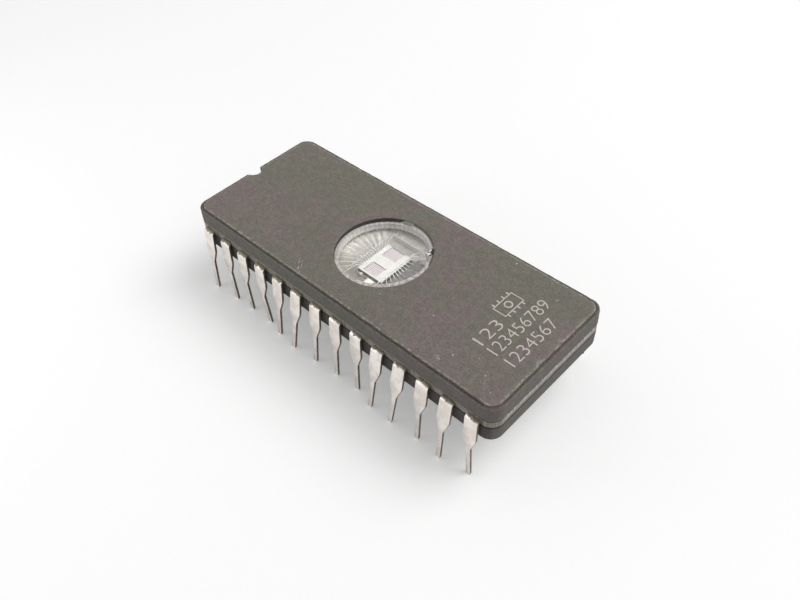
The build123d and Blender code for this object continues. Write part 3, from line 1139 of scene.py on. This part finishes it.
def wire_route(part):
    """Points for a wire: it climbs steeply from its pad, runs over the gap and comes down on its finger."""
    part.sort(key=lambda place: abs(place.x))
    way = (part[-1] - part[0]).xy.normalized()
    part.sort(key=lambda place: way.dot(place.xy))
    start = sum(part[:4], Vector()) / 4
    end = sum(part[-4:], Vector()) / 4
    top = max(place.z for place in part)
    route = []
    for share, climb in wire_shape:
        place = start.lerp(end, share)
        place.z += climb * (top - wire_radius - place.z)
        route.append(place)
    return route


def drawn_mesh(data):
    """The mesh that a curve or a text draws."""
    drawn = bpy.data.objects.new(data.name, data)
    mesh = bpy.data.meshes.new_from_object(drawn)
    bpy.data.objects.remove(drawn)
    return mesh


def add_wires(node, name, material):
    packed = solid_copy(node)
    packed.verts.index_update()
    data = bpy.data.curves.new(name, "CURVE")
    data.dimensions = "3D"
    data.bevel_depth = wire_radius
    data.bevel_resolution = 1
    for part in loose_parts(packed):
        spline = data.splines.new("NURBS")
        route = wire_route(part)
        spline.points.add(len(route) - 1)
        for point, place in zip(spline.points, route):
            point.co = (*place, 1.0)
        spline.order_u = 3
        spline.use_endpoint_u = True
        spline.resolution_u = 4
    packed.free()
    bm = bmesh.new()
    bm.from_mesh(drawn_mesh(data))
    add_piece(name, bm, [material], [node])


wire_metal = plain_material(
    "wire_aluminium", (236, 234, 230), (254, 252, 249), 0.1, Roughness=0.35, Metallic=0.3
)
for side in ("left", "right"):
    add_wires(f"bond_wires_{side}", f"fine_wires_{side}", wire_metal)
print("wires are", round(2 * wire_radius / MM, 3), "mm thick")

# %% [markdown]
# The top carries plain counting numbers and a small drawing of a package, printed in pale ink. Text objects
# give the numbers: each row is turned into a mesh and stretched to its room on the top, so that it reads
# along the package's short side. The drawing is made of flat faces, inset and given the ink's thickness.

# %% Print
ink_thickness = 0.02 * MM
ink_top = cap_high.z - 0.001 * MM
ink_line = 0.13
rows = [
    # text, then the line its feet stand on (x) and where it starts and ends (y), in mm
    ("123", 13.6, -2.75, 0.05),
    ("123456789", 15.1, -2.8, 4.3),
    ("1234567", 16.8, -2.8, 3.05),
]
row_height = 1.15
stroke_thinning = -0.014
drawing_low, drawing_high = Vector((11.65, 0.85)), Vector((13.05, 3.35))
drawn_window = 0.4
drawn_legs = 4
drawn_leg_length = 0.3


def ink_material():
    look = Look("pale_ink")
    thin = look.step(look.grain(0.1, roughness=0.7), 0.50, 0.68)
    look.base = (212, 202, 196)
    look.paint(thin, (124, 114, 108), 0.6)
    return look.finish(Roughness=0.6)


def print_row(bm, text, feet_x, start_y, end_y):
    """Adds a row of raised characters that read towards +Y, with their tops towards -X."""
    data = bpy.data.curves.new("row", "FONT")
    data.body = text
    data.extrude = 0.01
    data.offset = stroke_thinning
    mesh = drawn_mesh(data)
    low_x, high_x = (f(v.co.x for v in mesh.vertices) for f in (min, max))
    high_y = max(v.co.y for v in mesh.vertices)
    for v in mesh.vertices:
        along = (v.co.x - low_x) / (high_x - low_x)
        up = v.co.y / high_y
        level = ink_top - ink_thickness if v.co.z < 0 else ink_top
        v.co = Vector((feet_x - row_height * up, start_y + (end_y - start_y) * along, level / MM)) * MM
    bm.from_mesh(mesh)


def ink_shape(bm, verts, hollow=True):
    """Turns a flat shape into ink: a line along its border, or filled."""
    face = bm.faces.new(verts) if not verts[0].link_faces else verts[0].link_faces[0]
    face.normal_update()
    shape = [face]
    if hollow:
        inset = bmesh.ops.inset_region(bm, faces=[face], thickness=ink_line * MM, use_boundary=True)
        shape = inset["faces"]
        bmesh.ops.delete(bm, geom=[face], context="FACES_ONLY")
    grown = bmesh.ops.extrude_face_region(bm, geom=shape)["geom"]
    upper = [v for v in grown if isinstance(v, bmesh.types.BMVert)]
    bmesh.ops.translate(bm, verts=upper, vec=(0, 0, ink_thickness))


def ink_box(bm, low, high, hollow=True):
    ink_shape(bm, rectangle(bm, low, high, (ink_top - ink_thickness) / MM), hollow)


def print_drawing(bm):
    """A package seen from above: its outline, its round window and its two rows of leads."""
    ink_box(bm, drawing_low, drawing_high)
    middle = (drawing_low + drawing_high) / 2 * MM
    ring = bmesh.ops.create_circle(bm, cap_ends=True, segments=20, radius=drawn_window * MM)["verts"]
    bmesh.ops.translate(bm, verts=ring, vec=(*middle, ink_top - ink_thickness))
    ink_shape(bm, ring)
    for i in range(drawn_legs):
        y = drawing_low.y + (drawing_high.y - drawing_low.y) * (i + 0.5) / drawn_legs
        for low_x in (drawing_low.x - drawn_leg_length, drawing_high.x):
            high = (low_x + drawn_leg_length, y + ink_line / 2)
            ink_box(bm, (low_x, y - ink_line / 2), high, hollow=False)


def add_print():
    bm = bmesh.new()
    for row in rows:
        print_row(bm, *row)
    print_drawing(bm)
    bmesh.ops.remove_doubles(bm, verts=bm.verts, dist=weld_distance)
    bmesh.ops.recalc_face_normals(bm, faces=bm.faces)
    return add_piece("top_print", bm, [ink_material()], smooth=False)


printed = add_print()
print("faces in the print:", len(printed.data.polygons))
